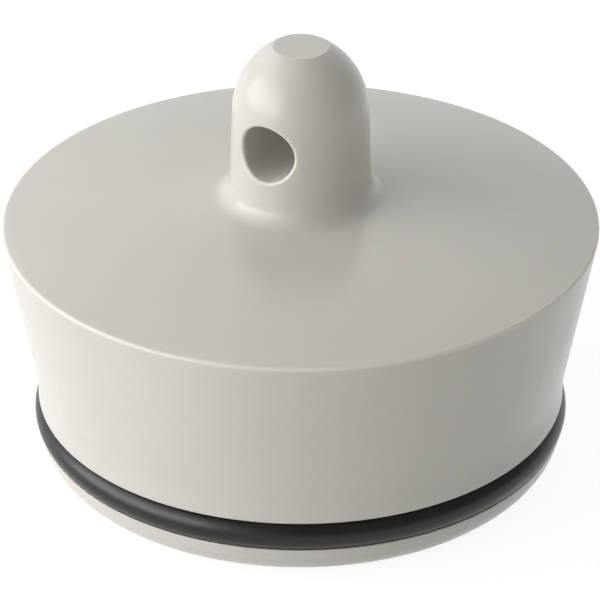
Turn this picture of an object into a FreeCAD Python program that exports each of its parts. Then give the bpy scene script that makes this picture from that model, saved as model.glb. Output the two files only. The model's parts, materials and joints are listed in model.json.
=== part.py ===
"""Drain stopper: a tapered plug moulded in one piece with its knob, and a sealing ring in its slot.

Millimetres, +Z up. The origin is the centre of the foot's lower face, and the chain hole runs along Y.
"""
import FreeCAD
import Part
import Sketcher
import math
import os

Vector = FreeCAD.Vector

# Driving dimensions in millimetres, and angles in degrees
SIZES = {
    # Sealing ring: a rubber ring of round section, and the slot that it lies in
    "ring_inner_diameter": 39.6,
    "ring_cord": 2.9,
    "ring_height": 4.22,
    "ring_clearance": 0.03,
    "slot_lip_round": 0.08,
    # Straight foot, which the ring stands proud of, rounded underneath
    "ring_stand": 0.315,
    "foot_round": 3.35,
    "foot_height": 7.74,
    # Tapered skirt above the foot
    "skirt_blend": 6.0,
    "skirt_taper": 10.57,
    "rim_height": 21.75,
    "rim_round": 0.25,
    # Domed cover
    "cover_crown": 2.6,
    # Knob, measured from the rim's plane
    "knob_diameter": 11.3,
    "knob_draft": 2.25,
    "knob_shoulder": 10.5,
    "dome_radius": 6.62,
    "knob_flat_diameter": 4.65,
    "root_fillet": 1.5,
    # Chain hole across the knob
    "hole_diameter": 4.9,
    "hole_rise": 8.42,
    "hole_lip_round": 0.2,
    # Hollow underside with crossed ribs
    "skirt_wall": 2.4,
    "cover_wall": 2.8,
    "core_draft": 1.0,
    "core_corner_round": 1.2,
    "mouth_round": 0.5,
    "rib_thickness": 2.0,
    "rib_setback": 2.5,
}
RIB_COUNT = 4
FULL_TURN = 360

# Derived dimensions, as expressions on the sheet
RING_RADIUS = "(sizes.ring_inner_diameter + sizes.ring_cord) / 2"
RING_OUTER = "(sizes.ring_inner_diameter / 2 + sizes.ring_cord)"
SLOT_FLOOR = "(sizes.ring_inner_diameter / 2 - sizes.ring_clearance)"
SLOT_ROUND = "(sizes.ring_cord / 2 + sizes.ring_clearance)"
SLOT_HIGH = f"(sizes.ring_height + {SLOT_ROUND})"
FOOT_RADIUS = f"({RING_OUTER} - sizes.ring_stand)"
SKIRT_HEIGHT = "(sizes.rim_height - sizes.foot_height)"
RIM_RADIUS = f"({FOOT_RADIUS} + {SKIRT_HEIGHT} * tan(sizes.skirt_taper * 1 deg))"
COVER_RADIUS = f"(({RIM_RADIUS}^2 + sizes.cover_crown^2) / (2 * sizes.cover_crown))"
COVER_CENTRE = f"(sizes.rim_height + sizes.cover_crown - {COVER_RADIUS})"
SHOULDER_HEIGHT = "(sizes.rim_height + sizes.knob_shoulder)"
HOLE_HEIGHT = "sizes.rim_height + sizes.hole_rise"
CORE_RADIUS = f"({SLOT_FLOOR} - sizes.skirt_wall)"
ROOF_RADIUS = f"{COVER_RADIUS} - sizes.cover_wall"
RIB_TOP_RADIUS = f"{COVER_RADIUS} - sizes.cover_wall / 2"
RIB_REACH = f"{CORE_RADIUS} + sizes.skirt_wall / 2"

# Sketcher's own references: the origin point and the upright axis
ORIGIN = (-1, 1)
UPRIGHT = -2
START, END, CENTRE = 1, 2, 3
# Closeness and sample count that pick out an edge
NEAR = 1e-3
EDGE_SAMPLES = 7


def make_sheet(doc):
    """A sheet with one named cell for each driving dimension."""
    sheet = doc.addObject("Spreadsheet::Sheet", "sizes")
    for row, (name, number) in enumerate(SIZES.items(), start=1):
        sheet.set(f"A{row}", name)
        sheet.set(f"B{row}", str(number))
        sheet.setAlias(f"B{row}", name)
    doc.recompute()


class Section:
    """A sketch in the plane through the plug's axis, with its sizes bound to the sheet."""

    def __init__(self, body, name):
        self.sketch = body.newObject("Sketcher::SketchObject", name)
        plane = next(item for item in body.Origin.OriginFeatures if item.Role == "XZ_Plane")
        self.sketch.AttachmentSupport = (plane, [""])
        self.sketch.MapMode = "FlatFace"
        self.sheet = body.Document.getObject("sizes")

    def value(self, expression):
        return float(self.sheet.evalExpression(expression))

    def line(self, start, end):
        return self.sketch.addGeometry(Part.LineSegment(Vector(*start, 0), Vector(*end, 0)))

    def circle(self, centre, radius):
        return self.sketch.addGeometry(Part.Circle(Vector(*centre, 0), Vector(0, 0, 1), radius))

    def arc(self, centre, start, end):
        """An arc that runs anticlockwise about its centre from start to end."""
        radius = math.dist(centre, start)
        angles = [math.atan2(point[1] - centre[1], point[0] - centre[0]) for point in (start, end)]
        circle = Part.Circle(Vector(*centre, 0), Vector(0, 0, 1), radius)
        return self.sketch.addGeometry(Part.ArcOfCircle(circle, *angles))

    def relate(self, kind, *items):
        self.sketch.addConstraint(Sketcher.Constraint(kind, *items))

    def join(self, *pairs):
        for first, second in pairs:
            self.relate("Coincident", *first, *second)

    def bind(self, kind, items, expression):
        """A size or an angle that follows an expression on the sheet."""
        amount = self.value(expression)
        if kind == "Angle":
            amount = math.radians(amount)
        index = self.sketch.addConstraint(Sketcher.Constraint(kind, *items, amount))
        unit = " * 1 deg" if kind == "Angle" else ""
        self.sketch.setExpression(f"Constraints[{index}]", f"({expression}){unit}")

    def place(self, point, across=None, height=None):
        """Distances of a point from the axis and from the foot's lower face."""
        if across:
            self.bind("DistanceX", (*ORIGIN, *point), across)
        if height:
            self.bind("DistanceY", (*ORIGIN, *point), height)

    def point(self, item, end):
        """Where an end of an item lies, once the sketch is solved."""
        self.sketch.solve()
        spot = self.sketch.getPoint(item, end)
        return spot.x, spot.y


def plug_outline(body):
    """Half outline of the plug and its knob, from the foot's centre round to the knob's top.

    Comes with the points of it where edges are rounded later.
    """
    section = Section(body, "plug_outline")
    value = section.value
    foot_r, foot_round = value(FOOT_RADIUS), value("sizes.foot_round")
    bend = (foot_r, value("sizes.foot_height"))
    rim = (value(RIM_RADIUS), value("sizes.rim_height"))
    cover_centre = (0, value(COVER_CENTRE))
    draft = math.radians(value("sizes.knob_draft"))
    shoulder = (value("sizes.knob_diameter") / 2, value(SHOULDER_HEIGHT))
    dome = value("sizes.dome_radius")
    dome_centre = (shoulder[0] - dome * math.cos(draft), shoulder[1] - dome * math.sin(draft))
    flat_r = value("sizes.knob_flat_diameter") / 2
    top = (flat_r, dome_centre[1] + math.sqrt(dome ** 2 - (flat_r - dome_centre[0]) ** 2))
    root_z = cover_centre[1] + math.sqrt(value(COVER_RADIUS) ** 2 - shoulder[0] ** 2)
    root = (shoulder[0] + (shoulder[1] - root_z) * math.tan(draft), root_z)

    base = section.line((0, 0), (foot_r - foot_round, 0))
    toe = section.arc((foot_r - foot_round, foot_round), (foot_r - foot_round, 0), (foot_r, foot_round))
    foot = section.line((foot_r, foot_round), bend)
    skirt = section.line(bend, rim)
    cover = section.arc(cover_centre, rim, root)
    side = section.line(root, shoulder)
    crown = section.arc(dome_centre, shoulder, top)
    flat = section.line(top, (0, top[1]))
    axis = section.line((0, top[1]), (0, 0))

    section.join((ORIGIN, (base, START)), ((foot, END), (skirt, START)))
    section.join(((skirt, END), (cover, START)), ((cover, END), (side, START)))
    section.join(((crown, END), (flat, START)), ((flat, END), (axis, START)), ((axis, END), (base, START)))
    section.relate("Tangent", base, END, toe, START)
    section.relate("Tangent", toe, END, foot, START)
    section.relate("Tangent", side, END, crown, START)
    section.relate("PointOnObject", cover, CENTRE, UPRIGHT)
    for level in (base, flat):
        section.relate("Horizontal", level)
    for upright in (foot, axis):
        section.relate("Vertical", upright)

    section.bind("Radius", (toe,), "sizes.foot_round")
    section.place((foot, END), across=FOOT_RADIUS, height="sizes.foot_height")
    section.place((skirt, END), across=RIM_RADIUS, height="sizes.rim_height")
    section.bind("Radius", (cover,), COVER_RADIUS)
    section.place((side, END), across="sizes.knob_diameter / 2", height=SHOULDER_HEIGHT)
    section.bind("Angle", (side,), "90 + sizes.knob_draft")
    section.bind("Radius", (crown,), "sizes.dome_radius")
    section.place((crown, END), across="sizes.knob_flat_diameter / 2")
    rounded = {"bend": (skirt, START), "rim": (cover, START), "root": (cover, END)}
    return section.sketch, {name: section.point(*end) for name, end in rounded.items()}


def slot_outline(body):
    """Section of the ring's slot: round under the ring, square above it and open on its outer side."""
    section = Section(body, "slot_outline")
    value = section.value
    centre = (value(RING_RADIUS), value("sizes.ring_height"))
    floor_r, high = value(SLOT_FLOOR), value(SLOT_HIGH)
    open_r = centre[0] + value(SLOT_ROUND)

    cradle = section.arc(centre, (floor_r, centre[1]), (open_r, centre[1]))
    mouth = section.line((open_r, centre[1]), (open_r, high))
    upper = section.line((open_r, high), (floor_r, high))
    floor = section.line((floor_r, high), (floor_r, centre[1]))
    section.join(((mouth, END), (upper, START)), ((upper, END), (floor, START)))
    section.relate("Tangent", floor, END, cradle, START)
    section.relate("Tangent", cradle, END, mouth, START)
    section.relate("Horizontal", upper)
    for upright in (mouth, floor):
        section.relate("Vertical", upright)
    section.place((cradle, CENTRE), across=RING_RADIUS, height="sizes.ring_height")
    section.place((floor, START), across=SLOT_FLOOR, height=SLOT_HIGH)
    return section.sketch


def core_outline(body):
    """Half outline of the hollow underside: a drafted wall under a roof that follows the cover.

    Comes with the points of it where edges are rounded later.
    """
    section = Section(body, "core_outline")
    value = section.value
    mouth_r = value(CORE_RADIUS)
    draft = math.radians(value("sizes.core_draft"))
    centre = (0, value(COVER_CENTRE))
    roof_r = value(ROOF_RADIUS)
    corner_z = centre[1] + math.sqrt(roof_r ** 2 - mouth_r ** 2)
    corner = (mouth_r - corner_z * math.tan(draft), corner_z)
    peak = (0, centre[1] + roof_r)

    mouth = section.line((0, 0), (mouth_r, 0))
    wall = section.line((mouth_r, 0), corner)
    roof = section.arc(centre, corner, peak)
    axis = section.line(peak, (0, 0))
    section.join((ORIGIN, (mouth, START)), ((mouth, END), (wall, START)), ((wall, END), (roof, START)))
    section.join(((roof, END), (axis, START)), ((axis, END), (mouth, START)))
    section.relate("Horizontal", mouth)
    section.relate("Vertical", axis)
    section.relate("PointOnObject", roof, CENTRE, UPRIGHT)
    section.place((mouth, END), across=CORE_RADIUS)
    section.bind("Angle", (wall,), "90 + sizes.core_draft")
    section.bind("Radius", (roof,), ROOF_RADIUS)
    section.place((roof, CENTRE), height=COVER_CENTRE)
    rounded = {"mouth": (wall, START), "corner": (wall, END)}
    return section.sketch, {name: section.point(*end) for name, end in rounded.items()}


def rib_outline(body):
    """Outline of one rib, from the axis out into the skirt's wall and up into the cover."""
    section = Section(body, "rib_outline")
    value = section.value
    reach, low = value(RIB_REACH), value("sizes.rib_setback")
    centre = (0, value(COVER_CENTRE))
    top_r = value(RIB_TOP_RADIUS)
    outer_top = (reach, centre[1] + math.sqrt(top_r ** 2 - reach ** 2))
    inner_top = (0, centre[1] + top_r)

    edge = section.line((0, low), (reach, low))
    outer = section.line((reach, low), outer_top)
    top = section.arc(centre, outer_top, inner_top)
    axis = section.line(inner_top, (0, low))
    section.join(((edge, END), (outer, START)), ((outer, END), (top, START)), ((top, END), (axis, START)))
    section.join(((axis, END), (edge, START)))
    section.relate("Horizontal", edge)
    section.relate("Vertical", outer)
    section.relate("Vertical", axis)
    section.relate("PointOnObject", edge, START, UPRIGHT)
    section.relate("PointOnObject", top, CENTRE, UPRIGHT)
    section.place((edge, START), height="sizes.rib_setback")
    section.place((edge, END), across=RIB_REACH)
    section.bind("Radius", (top,), RIB_TOP_RADIUS)
    section.place((top, CENTRE), height=COVER_CENTRE)
    return section.sketch


def hole_outline(body):
    """Section of the chain hole, across the knob."""
    section = Section(body, "hole_outline")
    circle = section.circle((0, section.value(HOLE_HEIGHT)), section.value("sizes.hole_diameter") / 2)
    section.relate("PointOnObject", circle, CENTRE, UPRIGHT)
    section.place((circle, CENTRE), height=HOLE_HEIGHT)
    section.bind("Diameter", (circle,), "sizes.hole_diameter")
    return section.sketch


def turn(body, kind, name, sketch):
    """A full turn of a sketch about the plug's axis, added or cut away."""
    feature = body.newObject(kind, name)
    feature.Profile = sketch
    feature.ReferenceAxis = (sketch, ["V_Axis"])
    feature.Angle = FULL_TURN
    body.Document.recompute()


def round_edges(body, name, radius, wanted):
    """A fillet on the edges of the body so far that the test picks out."""
    base = body.Tip
    edges = enumerate(base.Shape.Edges, start=1)
    names = [f"Edge{number}" for number, edge in edges if not edge.Degenerated and wanted(edge)]
    if not names:
        raise RuntimeError(f"{name}: no edge to round")
    fillet = body.newObject("PartDesign::Fillet", name)
    fillet.Base = (base, names)
    fillet.setExpression("Radius", radius)
    body.Document.recompute()


def ring_edge(point):
    """A test for the level circle about the axis that goes through a point of a section."""
    across, height = point
    def wanted(edge):
        ends = [vertex.Point for vertex in edge.Vertexes]
        same = [math.hypot(end.x, end.y) - across for end in ends] + [end.z - height for end in ends]
        return isinstance(edge.Curve, Part.Circle) and max(abs(gap) for gap in same) < NEAR
    return wanted


def slot_lip(centre, rounding, high):
    """A test for the slot's open edges: the outer circles of its round lower side and of its roof."""
    def wanted(edge):
        if not isinstance(edge.Curve, Part.Circle) or edge.Curve.Radius < centre[0]:
            return False
        level = edge.Curve.Center.z
        reach = math.hypot(edge.Curve.Radius - centre[0], level - centre[1])
        return abs(reach - rounding) < NEAR or abs(level - high) < NEAR
    return wanted


def hole_edge(height, radius):
    """A test for the edges where the chain hole breaks out of the knob."""
    def wanted(edge):
        points = edge.discretize(EDGE_SAMPLES)
        off = [abs(math.hypot(point.x, point.z - height) - radius) for point in points]
        return not isinstance(edge.Curve, Part.Line) and max(off) < NEAR
    return wanted


def make_plug_body(doc):
    """The moulding: turned outline, ring slot, hollow underside, ribs, chain hole and rounded edges."""
    body = doc.addObject("PartDesign::Body", "plug_body")
    sheet = doc.getObject("sizes")
    ring_r, slot_round, slot_high, hole_z = [
        float(sheet.evalExpression(size)) for size in (RING_RADIUS, SLOT_ROUND, SLOT_HIGH, HOLE_HEIGHT)
    ]
    lips = slot_lip((ring_r, sheet.ring_height), slot_round, slot_high)
    outline, points = plug_outline(body)
    turn(body, "PartDesign::Revolution", "solid_plug", outline)
    round_edges(body, "foot_blend", "sizes.skirt_blend", ring_edge(points["bend"]))
    turn(body, "PartDesign::Groove", "ring_slot", slot_outline(body))
    round_edges(body, "slot_lips", "sizes.slot_lip_round", lips)
    core, core_points = core_outline(body)
    turn(body, "PartDesign::Groove", "hollow_underside", core)
    round_edges(body, "core_corner", "sizes.core_corner_round", ring_edge(core_points["corner"]))
    round_edges(body, "core_mouth", "sizes.mouth_round", ring_edge(core_points["mouth"]))

    rib = body.newObject("PartDesign::Pad", "rib")
    rib.Profile = rib_outline(body)
    rib.Midplane = True
    rib.setExpression("Length", "sizes.rib_thickness")
    doc.recompute()
    ribs = body.newObject("PartDesign::PolarPattern", "crossed_ribs")
    ribs.Originals = [rib]
    ribs.Axis = (rib.Profile[0], ["V_Axis"])
    ribs.Angle = FULL_TURN
    ribs.Occurrences = RIB_COUNT
    body.Tip = ribs
    doc.recompute()

    round_edges(body, "knob_root", "sizes.root_fillet", ring_edge(points["root"]))
    round_edges(body, "rim_edge", "sizes.rim_round", ring_edge(points["rim"]))

    hole = body.newObject("PartDesign::Pocket", "chain_hole")
    hole.Profile = hole_outline(body)
    hole.Midplane = True
    hole.Type = "ThroughAll"
    doc.recompute()
    round_edges(body, "hole_lip", "sizes.hole_lip_round", hole_edge(hole_z, sheet.hole_diameter / 2))
    return body


def make_sealing_ring(doc):
    """The rubber ring, a round section turned about the plug's axis."""
    body = doc.addObject("PartDesign::Body", "sealing_ring")
    section = Section(body, "ring_section")
    centre = (section.value(RING_RADIUS), section.value("sizes.ring_height"))
    circle = section.circle(centre, section.value("sizes.ring_cord") / 2)
    section.place((circle, CENTRE), across=RING_RADIUS, height="sizes.ring_height")
    section.bind("Diameter", (circle,), "sizes.ring_cord")
    turn(body, "PartDesign::Revolution", "ring", section.sketch)
    return body


def check(doc, bodies):
    """Stops if any object failed, a cut took nothing away, or a piece isn't one sound solid."""
    for item in doc.Objects:
        if "Invalid" in item.State or "Error" in item.State:
            raise RuntimeError(f"{item.Label} failed: {item.State}")
    for body in bodies:
        features = [item for item in body.Group if item.isDerivedFrom("PartDesign::Feature")]
        for before, after in zip(features, features[1:]):
            if abs(after.Shape.Volume - before.Shape.Volume) < NEAR:
                raise RuntimeError(f"{after.Label} changed nothing")
        if body.Shape.isNull() or not body.Shape.isValid() or len(body.Shape.Solids) != 1:
            raise RuntimeError(f"{body.Label} isn't one sound solid")


def main():
    doc = FreeCAD.newDocument("drain_stopper")
    make_sheet(doc)
    bodies = [make_plug_body(doc), make_sealing_ring(doc)]
    doc.recompute()
    check(doc, bodies)
    os.makedirs("parts", exist_ok=True)
    for body in bodies:
        box = body.Shape.optimalBoundingBox(False)
        print(f"{body.Label}: {body.Shape.Volume:.1f} mm3")
        print(f"  {box.XLength:.2f} x {box.YLength:.2f} x {box.ZLength:.2f} mm, from z {box.ZMin:.2f}")
        body.Shape.exportStep(f"parts/{body.Label}.step")


main()
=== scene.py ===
"""Drain stopper on a pale floor: materials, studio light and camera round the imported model.

Metres, in the model's own frame: +Z up, origin at the centre of the foot, chain hole along Y.
"""
import bpy
import json
import math
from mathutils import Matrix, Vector

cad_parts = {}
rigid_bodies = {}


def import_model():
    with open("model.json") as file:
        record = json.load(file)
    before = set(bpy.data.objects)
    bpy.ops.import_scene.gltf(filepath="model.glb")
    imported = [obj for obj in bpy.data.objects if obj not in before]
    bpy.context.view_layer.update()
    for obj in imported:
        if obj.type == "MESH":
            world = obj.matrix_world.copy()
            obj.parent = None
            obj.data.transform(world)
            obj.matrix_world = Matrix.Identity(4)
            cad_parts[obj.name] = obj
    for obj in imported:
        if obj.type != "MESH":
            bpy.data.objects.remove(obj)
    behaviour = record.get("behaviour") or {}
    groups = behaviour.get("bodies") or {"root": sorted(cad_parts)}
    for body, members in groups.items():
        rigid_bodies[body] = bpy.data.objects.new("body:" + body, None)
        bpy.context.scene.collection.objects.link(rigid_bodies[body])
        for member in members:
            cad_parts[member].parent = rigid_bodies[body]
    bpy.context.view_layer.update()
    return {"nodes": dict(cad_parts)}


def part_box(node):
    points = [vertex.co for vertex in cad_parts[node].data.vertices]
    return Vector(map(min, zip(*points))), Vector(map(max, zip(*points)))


MM = 0.001

# Height of the rim, which the camera's place and the rim's painted highlight are measured from
RIM_HEIGHT = 21.75 * MM

# Camera, fitted to the photograph: its place, what it looks at, and its lens and sensor in millimetres
CAMERA_AZIMUTH = math.radians(31.5)
CAMERA_ELEVATION = math.radians(28.51)
CAMERA_DISTANCE = 349.5 * MM
CAMERA_SHIFT = -0.05 * MM
AIM_HEIGHT = 13.85 * MM
LENS = 250.6
SENSOR = 36.0

# Room: white where it is seen, dimmer up on the right between two cosines, and an even fill for lighting
FILL_STRENGTH = 0.435
ROOM_DIM = 0.3
ROOM_DIM_SIDE = math.radians(60)
ROOM_DIM_RISE = math.radians(45)
ROOM_FADE = (0.1, 0.65)

# Floor: paper for lighting, and mostly glow where it is seen
FLOOR_SIZE = 6.0
FLOOR_DROP = 0.02 * MM
FLOOR_PAPER = 0.76
FLOOR_SEEN_PAPER = 0.18
FLOOR_SEEN_GLOW = 0.89

# Soft boxes: degrees from the camera to the right, lower and upper edge, width and radiance
BOX_DISTANCE = 0.7
SOFT_BOXES = {
    "key": {"azimuth": -73, "low": 0.02, "high": 0.45, "width": 1.0, "radiance": 4.4},
    "key_upper": {"azimuth": -85, "low": 0.45, "high": 0.95, "width": 1.8, "radiance": 1.1},
    "back": {"azimuth": 170, "low": 0.40, "high": 0.95, "width": 1.6, "radiance": 0.6},
}

# The stretch that most of a noise's values lie in
NOISE_RANGE = (0.3, 0.7)

# Colour of the plastic: pale warm grey with a faint drift of tone, and a painted highlight: a paler line
# along the rim that stands in for light caught by its rounded edge
PLASTIC_DEEP = (0.583, 0.560, 0.518, 1)
PLASTIC_PALE = (0.615, 0.590, 0.546, 1)
PLASTIC_RIM_HIGHLIGHT = (0.625, 0.603, 0.562, 1)
TONE_SIZE = 22 * MM
# How far the rim's painted highlight reaches from the edge: full up to the first distance, gone by the second
RIM_HIGHLIGHT_CORE = 0.08 * MM
RIM_HIGHLIGHT_REACH = 0.28 * MM

# Light that spreads a little inside the plastic: its share, how far it goes, and that in each colour
PLASTIC_SPREAD = 1.0
PLASTIC_SPREAD_REACH = 0.8 * MM
PLASTIC_SPREAD_TINT = (1.0, 0.9, 0.8)

# Gloss of the plastic: roughness that varies in smears, and more of it on the knob's flat
PLASTIC_SPECULAR = 0.40
PLASTIC_GLOSS = (0.21, 0.27)
SMEAR_SIZE = 6 * MM
FLAT_DULL = 0.10
FLAT_MARGIN = 0.02 * MM

# Relief of the plastic: fine grain and upright mould streaks
GRAIN_SIZE = 0.4 * MM
GRAIN_DEPTH = 0.004 * MM
STREAK_WIDTH = 1.4 * MM
STREAK_STRETCH = 30.0
STREAK_DEPTH = 0.004 * MM

# Rubber: black, slightly dull, with a faint bloom and a fine grain
RUBBER_DEEP = (0.003, 0.003, 0.0033, 1)
RUBBER_BLOOM = (0.008, 0.008, 0.008, 1)
RUBBER_SPECULAR = 0.44
RUBBER_GLOSS = (0.30, 0.38)
BLOOM_SIZE = 5 * MM
RUBBER_GRAIN_SIZE = 0.25 * MM
RUBBER_GRAIN_DEPTH = 0.010 * MM


def direction(azimuth, elevation=0.0):
    """A unit vector away from the plug: its angle from the front to the right, and above the floor."""
    level = math.cos(elevation)
    return Vector((math.sin(azimuth) * level, -math.cos(azimuth) * level, math.sin(elevation)))


def grey(level):
    """A neutral colour."""
    return (level, level, level, 1)


def clear_scene():
    """An empty scene, without the objects that Blender starts with."""
    for obj in list(bpy.data.objects):
        bpy.data.objects.remove(obj)


def add_object(name, data):
    """A new object in the scene."""
    obj = bpy.data.objects.new(name, data)
    bpy.context.scene.collection.objects.link(obj)
    return obj


def turn_towards(obj, line):
    """Turns a camera or a lamp to look along a line."""
    obj.rotation_euler = line.to_track_quat("-Z", "Y").to_euler()


def add_camera():
    """A camera on the photograph's line of sight."""
    data = bpy.data.cameras.new("camera")
    data.sensor_width = SENSOR
    data.lens = LENS
    camera = add_object("camera", data)
    shift = direction(CAMERA_AZIMUTH + math.pi / 2) * CAMERA_SHIFT
    reach = direction(CAMERA_AZIMUTH, CAMERA_ELEVATION) * CAMERA_DISTANCE
    camera.location = Vector((0, 0, RIM_HEIGHT)) + shift + reach
    turn_towards(camera, Vector((0, 0, AIM_HEIGHT)) + shift - camera.location)
    bpy.context.scene.camera = camera


def add_soft_box(name, azimuth, low, high, width, radiance):
    """An upright soft box that faces the plug's axis."""
    data = bpy.data.lights.new(name, "AREA")
    data.shape = "RECTANGLE"
    data.size = width
    data.size_y = high - low
    data.energy = radiance * math.pi * data.size * data.size_y
    light = add_object(name, data)
    out = direction(CAMERA_AZIMUTH + math.radians(azimuth))
    light.location = out * BOX_DISTANCE + Vector((0, 0, (low + high) / 2))
    turn_towards(light, -out)
    light.visible_camera = False


def add_node(tree, kind, inputs=None, **settings):
    """A node with its settings, and with its inputs given as numbers or as outputs to link from."""
    node = tree.nodes.new(kind)
    for name, setting in settings.items():
        setattr(node, name, setting)
    for socket, source in (inputs or {}).items():
        if isinstance(source, bpy.types.NodeSocket):
            tree.links.new(source, node.inputs[socket])
        else:
            node.inputs[socket].default_value = source
    return node


def add_math(tree, operation, first, second=0.0):
    """The output of one sum on two numbers or outputs."""
    return add_node(tree, "ShaderNodeMath", {0: first, 1: second}, operation=operation).outputs[0]


def add_range(tree, source, before, after):
    """A number carried from one range to another, smoothly, and held at its ends."""
    node = add_node(tree, "ShaderNodeMapRange", {
        "Value": source, "From Min": before[0], "From Max": before[1], "To Min": after[0], "To Max": after[1],
    }, interpolation_type="SMOOTHSTEP")
    return node.outputs["Result"]


def seen_directly(tree):
    """One for what the camera sees, also by reflection or through something clear, and zero for lighting."""
    path = add_node(tree, "ShaderNodeLightPath").outputs
    seen = add_math(tree, "MAXIMUM", path["Is Camera Ray"], path["Is Glossy Ray"])
    return add_math(tree, "MAXIMUM", seen, path["Is Transmission Ray"])


def add_world():
    """A white room, dimmer on the side away from the key light, with a weak even fill for lighting."""
    world = bpy.data.worlds.new("studio")
    bpy.context.scene.world = world
    world.use_nodes = True
    tree = world.node_tree
    background = tree.nodes["Background"]
    background.inputs["Color"].default_value = grey(1.0)
    place = add_node(tree, "ShaderNodeTexCoord").outputs["Generated"]
    dim_side = direction(CAMERA_AZIMUTH + ROOM_DIM_SIDE, ROOM_DIM_RISE)
    facing = add_node(tree, "ShaderNodeVectorMath", {0: place, 1: dim_side}, operation="DOT_PRODUCT")
    room = add_range(tree, facing.outputs["Value"], ROOM_FADE, (1.0, ROOM_DIM))
    mix = add_node(tree, "ShaderNodeMix", {"Factor": seen_directly(tree), "A": FILL_STRENGTH, "B": room})
    tree.links.new(mix.outputs["Result"], background.inputs["Strength"])


def floor_paper():
    """Pale paper for lighting, and white where it is seen, apart from soft shadows."""
    material = bpy.data.materials.new("pale_floor")
    material.use_nodes = True
    tree = material.node_tree
    tree.nodes.remove(tree.nodes["Principled BSDF"])
    paper = add_node(tree, "ShaderNodeBsdfDiffuse", {"Color": grey(FLOOR_PAPER)})
    shade = add_node(tree, "ShaderNodeBsdfDiffuse", {"Color": grey(FLOOR_SEEN_PAPER)})
    glow = add_node(tree, "ShaderNodeEmission", {"Strength": FLOOR_SEEN_GLOW})
    seen = add_node(tree, "ShaderNodeAddShader", {0: shade.outputs[0], 1: glow.outputs[0]})
    mix = add_node(tree, "ShaderNodeMixShader", {
        "Fac": seen_directly(tree), 1: paper.outputs[0], 2: seen.outputs[0],
    })
    tree.links.new(mix.outputs[0], tree.nodes["Material Output"].inputs["Surface"])
    return material


def add_floor():
    """A pale floor just under the foot."""
    mesh = bpy.data.meshes.new("floor")
    half = FLOOR_SIZE / 2
    corners = [(-half, -half, 0), (half, -half, 0), (half, half, 0), (-half, half, 0)]
    mesh.from_pydata(corners, [], [range(len(corners))])
    mesh.materials.append(floor_paper())
    floor = add_object("floor", mesh)
    floor.location.z = -FLOOR_DROP


def new_material(name, specular):
    """A material with its node tree, its shader and the model's own coordinates."""
    material = bpy.data.materials.new(name)
    material.use_nodes = True
    tree = material.node_tree
    shader = tree.nodes["Principled BSDF"]
    shader.inputs["Specular IOR Level"].default_value = specular
    place = add_node(tree, "ShaderNodeTexCoord").outputs["Object"]
    return material, tree, shader, place


def add_noise(tree, place, size):
    """Soft noise with features of about one size."""
    noise = add_node(tree, "ShaderNodeTexNoise", {"Vector": place, "Scale": 1 / size})
    return noise.outputs["Fac"]


def add_tint(tree, share, first, second):
    """A colour between two, by a share from 0 to 1."""
    node = add_node(tree, "ShaderNodeMix", {"Factor": share}, data_type="RGBA")
    for socket, colour in (("A", first), ("B", second)):
        colour_input = next(item for item in node.inputs if item.name == socket and item.type == "RGBA")
        if isinstance(colour, bpy.types.NodeSocket):
            tree.links.new(colour, colour_input)
        else:
            colour_input.default_value = colour
    return next(item for item in node.outputs if item.type == "RGBA")


def add_bump(tree, height, depth, below=None):
    """A bump of a real depth, on top of another one if there is one."""
    inputs = {"Height": height, "Distance": depth}
    if below:
        inputs["Normal"] = below
    return add_node(tree, "ShaderNodeBump", inputs).outputs["Normal"]


def add_length(tree, first, second):
    """The length of the long side over two short sides."""
    sides = add_node(tree, "ShaderNodeCombineXYZ", {"X": first, "Y": second}).outputs[0]
    return add_node(tree, "ShaderNodeVectorMath", {0: sides}, operation="LENGTH").outputs["Value"]


def painted_rim_highlight(tree, place, rim_radius):
    """One on the rim's edge, fading to zero a little way from it: the mask of the painted highlight along the
    rim.
    """
    axes = add_node(tree, "ShaderNodeSeparateXYZ", {"Vector": place}).outputs
    across = add_math(tree, "SUBTRACT", add_length(tree, axes["X"], axes["Y"]), rim_radius)
    above = add_math(tree, "SUBTRACT", axes["Z"], RIM_HEIGHT)
    return add_range(tree, add_length(tree, across, above), (RIM_HIGHLIGHT_CORE, RIM_HIGHLIGHT_REACH), (1.0, 0.0))


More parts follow.
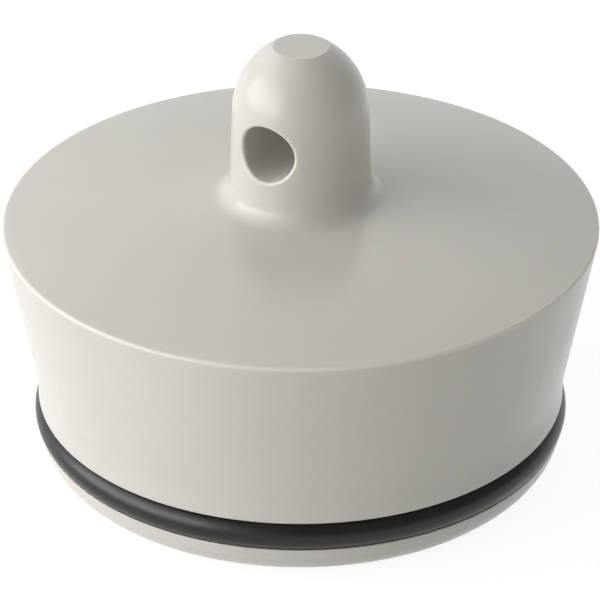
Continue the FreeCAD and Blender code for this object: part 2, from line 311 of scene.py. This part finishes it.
def plug_plastic(rim_radius, top):
    """Satin moulded plastic: drift of tone, a painted highlight along the rim, smears in the gloss, mould
    streaks and fine grain.
    """
    material, tree, shader, place = new_material("plug_plastic", PLASTIC_SPECULAR)
    shader.inputs["Subsurface Weight"].default_value = PLASTIC_SPREAD
    shader.inputs["Subsurface Scale"].default_value = PLASTIC_SPREAD_REACH
    shader.inputs["Subsurface Radius"].default_value = PLASTIC_SPREAD_TINT

    tone = add_range(tree, add_noise(tree, place, TONE_SIZE), NOISE_RANGE, (0.0, 1.0))
    base = add_tint(tree, tone, PLASTIC_DEEP, PLASTIC_PALE)
    rim_highlight = painted_rim_highlight(tree, place, rim_radius)
    # The rim is tinted paler here: a painted highlight along its edge
    tree.links.new(add_tint(tree, rim_highlight, base, PLASTIC_RIM_HIGHLIGHT), shader.inputs["Base Color"])

    smear = add_range(tree, add_noise(tree, place, SMEAR_SIZE), NOISE_RANGE, PLASTIC_GLOSS)
    height = add_node(tree, "ShaderNodeSeparateXYZ", {"Vector": place}).outputs["Z"]
    flat = add_range(tree, height, (top - 2 * FLAT_MARGIN, top - FLAT_MARGIN), (0.0, FLAT_DULL))
    tree.links.new(add_math(tree, "ADD", smear, flat), shader.inputs["Roughness"])

    squash = (1, 1, 1 / STREAK_STRETCH)
    upright = add_node(tree, "ShaderNodeMapping", {"Vector": place, "Scale": squash}).outputs[0]
    streaks = add_bump(tree, add_noise(tree, upright, STREAK_WIDTH), STREAK_DEPTH)
    grain = add_bump(tree, add_noise(tree, place, GRAIN_SIZE), GRAIN_DEPTH, streaks)
    tree.links.new(grain, shader.inputs["Normal"])
    return material


def ring_rubber():
    """Black rubber: faint bloom, uneven dullness and a fine grain."""
    material, tree, shader, place = new_material("ring_rubber", RUBBER_SPECULAR)
    bloom = add_noise(tree, place, BLOOM_SIZE)
    share = add_range(tree, bloom, NOISE_RANGE, (0.0, 1.0))
    tree.links.new(add_tint(tree, share, RUBBER_DEEP, RUBBER_BLOOM), shader.inputs["Base Color"])
    tree.links.new(add_range(tree, bloom, NOISE_RANGE, RUBBER_GLOSS), shader.inputs["Roughness"])
    grain = add_bump(tree, add_noise(tree, place, RUBBER_GRAIN_SIZE), RUBBER_GRAIN_DEPTH)
    tree.links.new(grain, shader.inputs["Normal"])
    return material


clear_scene()
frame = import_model()
_, plug_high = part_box("plug_body")
plastic = plug_plastic(rim_radius=plug_high[0], top=plug_high[2])
frame["nodes"]["plug_body"].material_slots[0].material = plastic
frame["nodes"]["sealing_ring"].material_slots[0].material = ring_rubber()
add_camera()
add_world()
add_floor()
for box_name, box in SOFT_BOXES.items():
    add_soft_box(box_name, **box)

bpy.context.scene.view_settings.view_transform = "Standard"
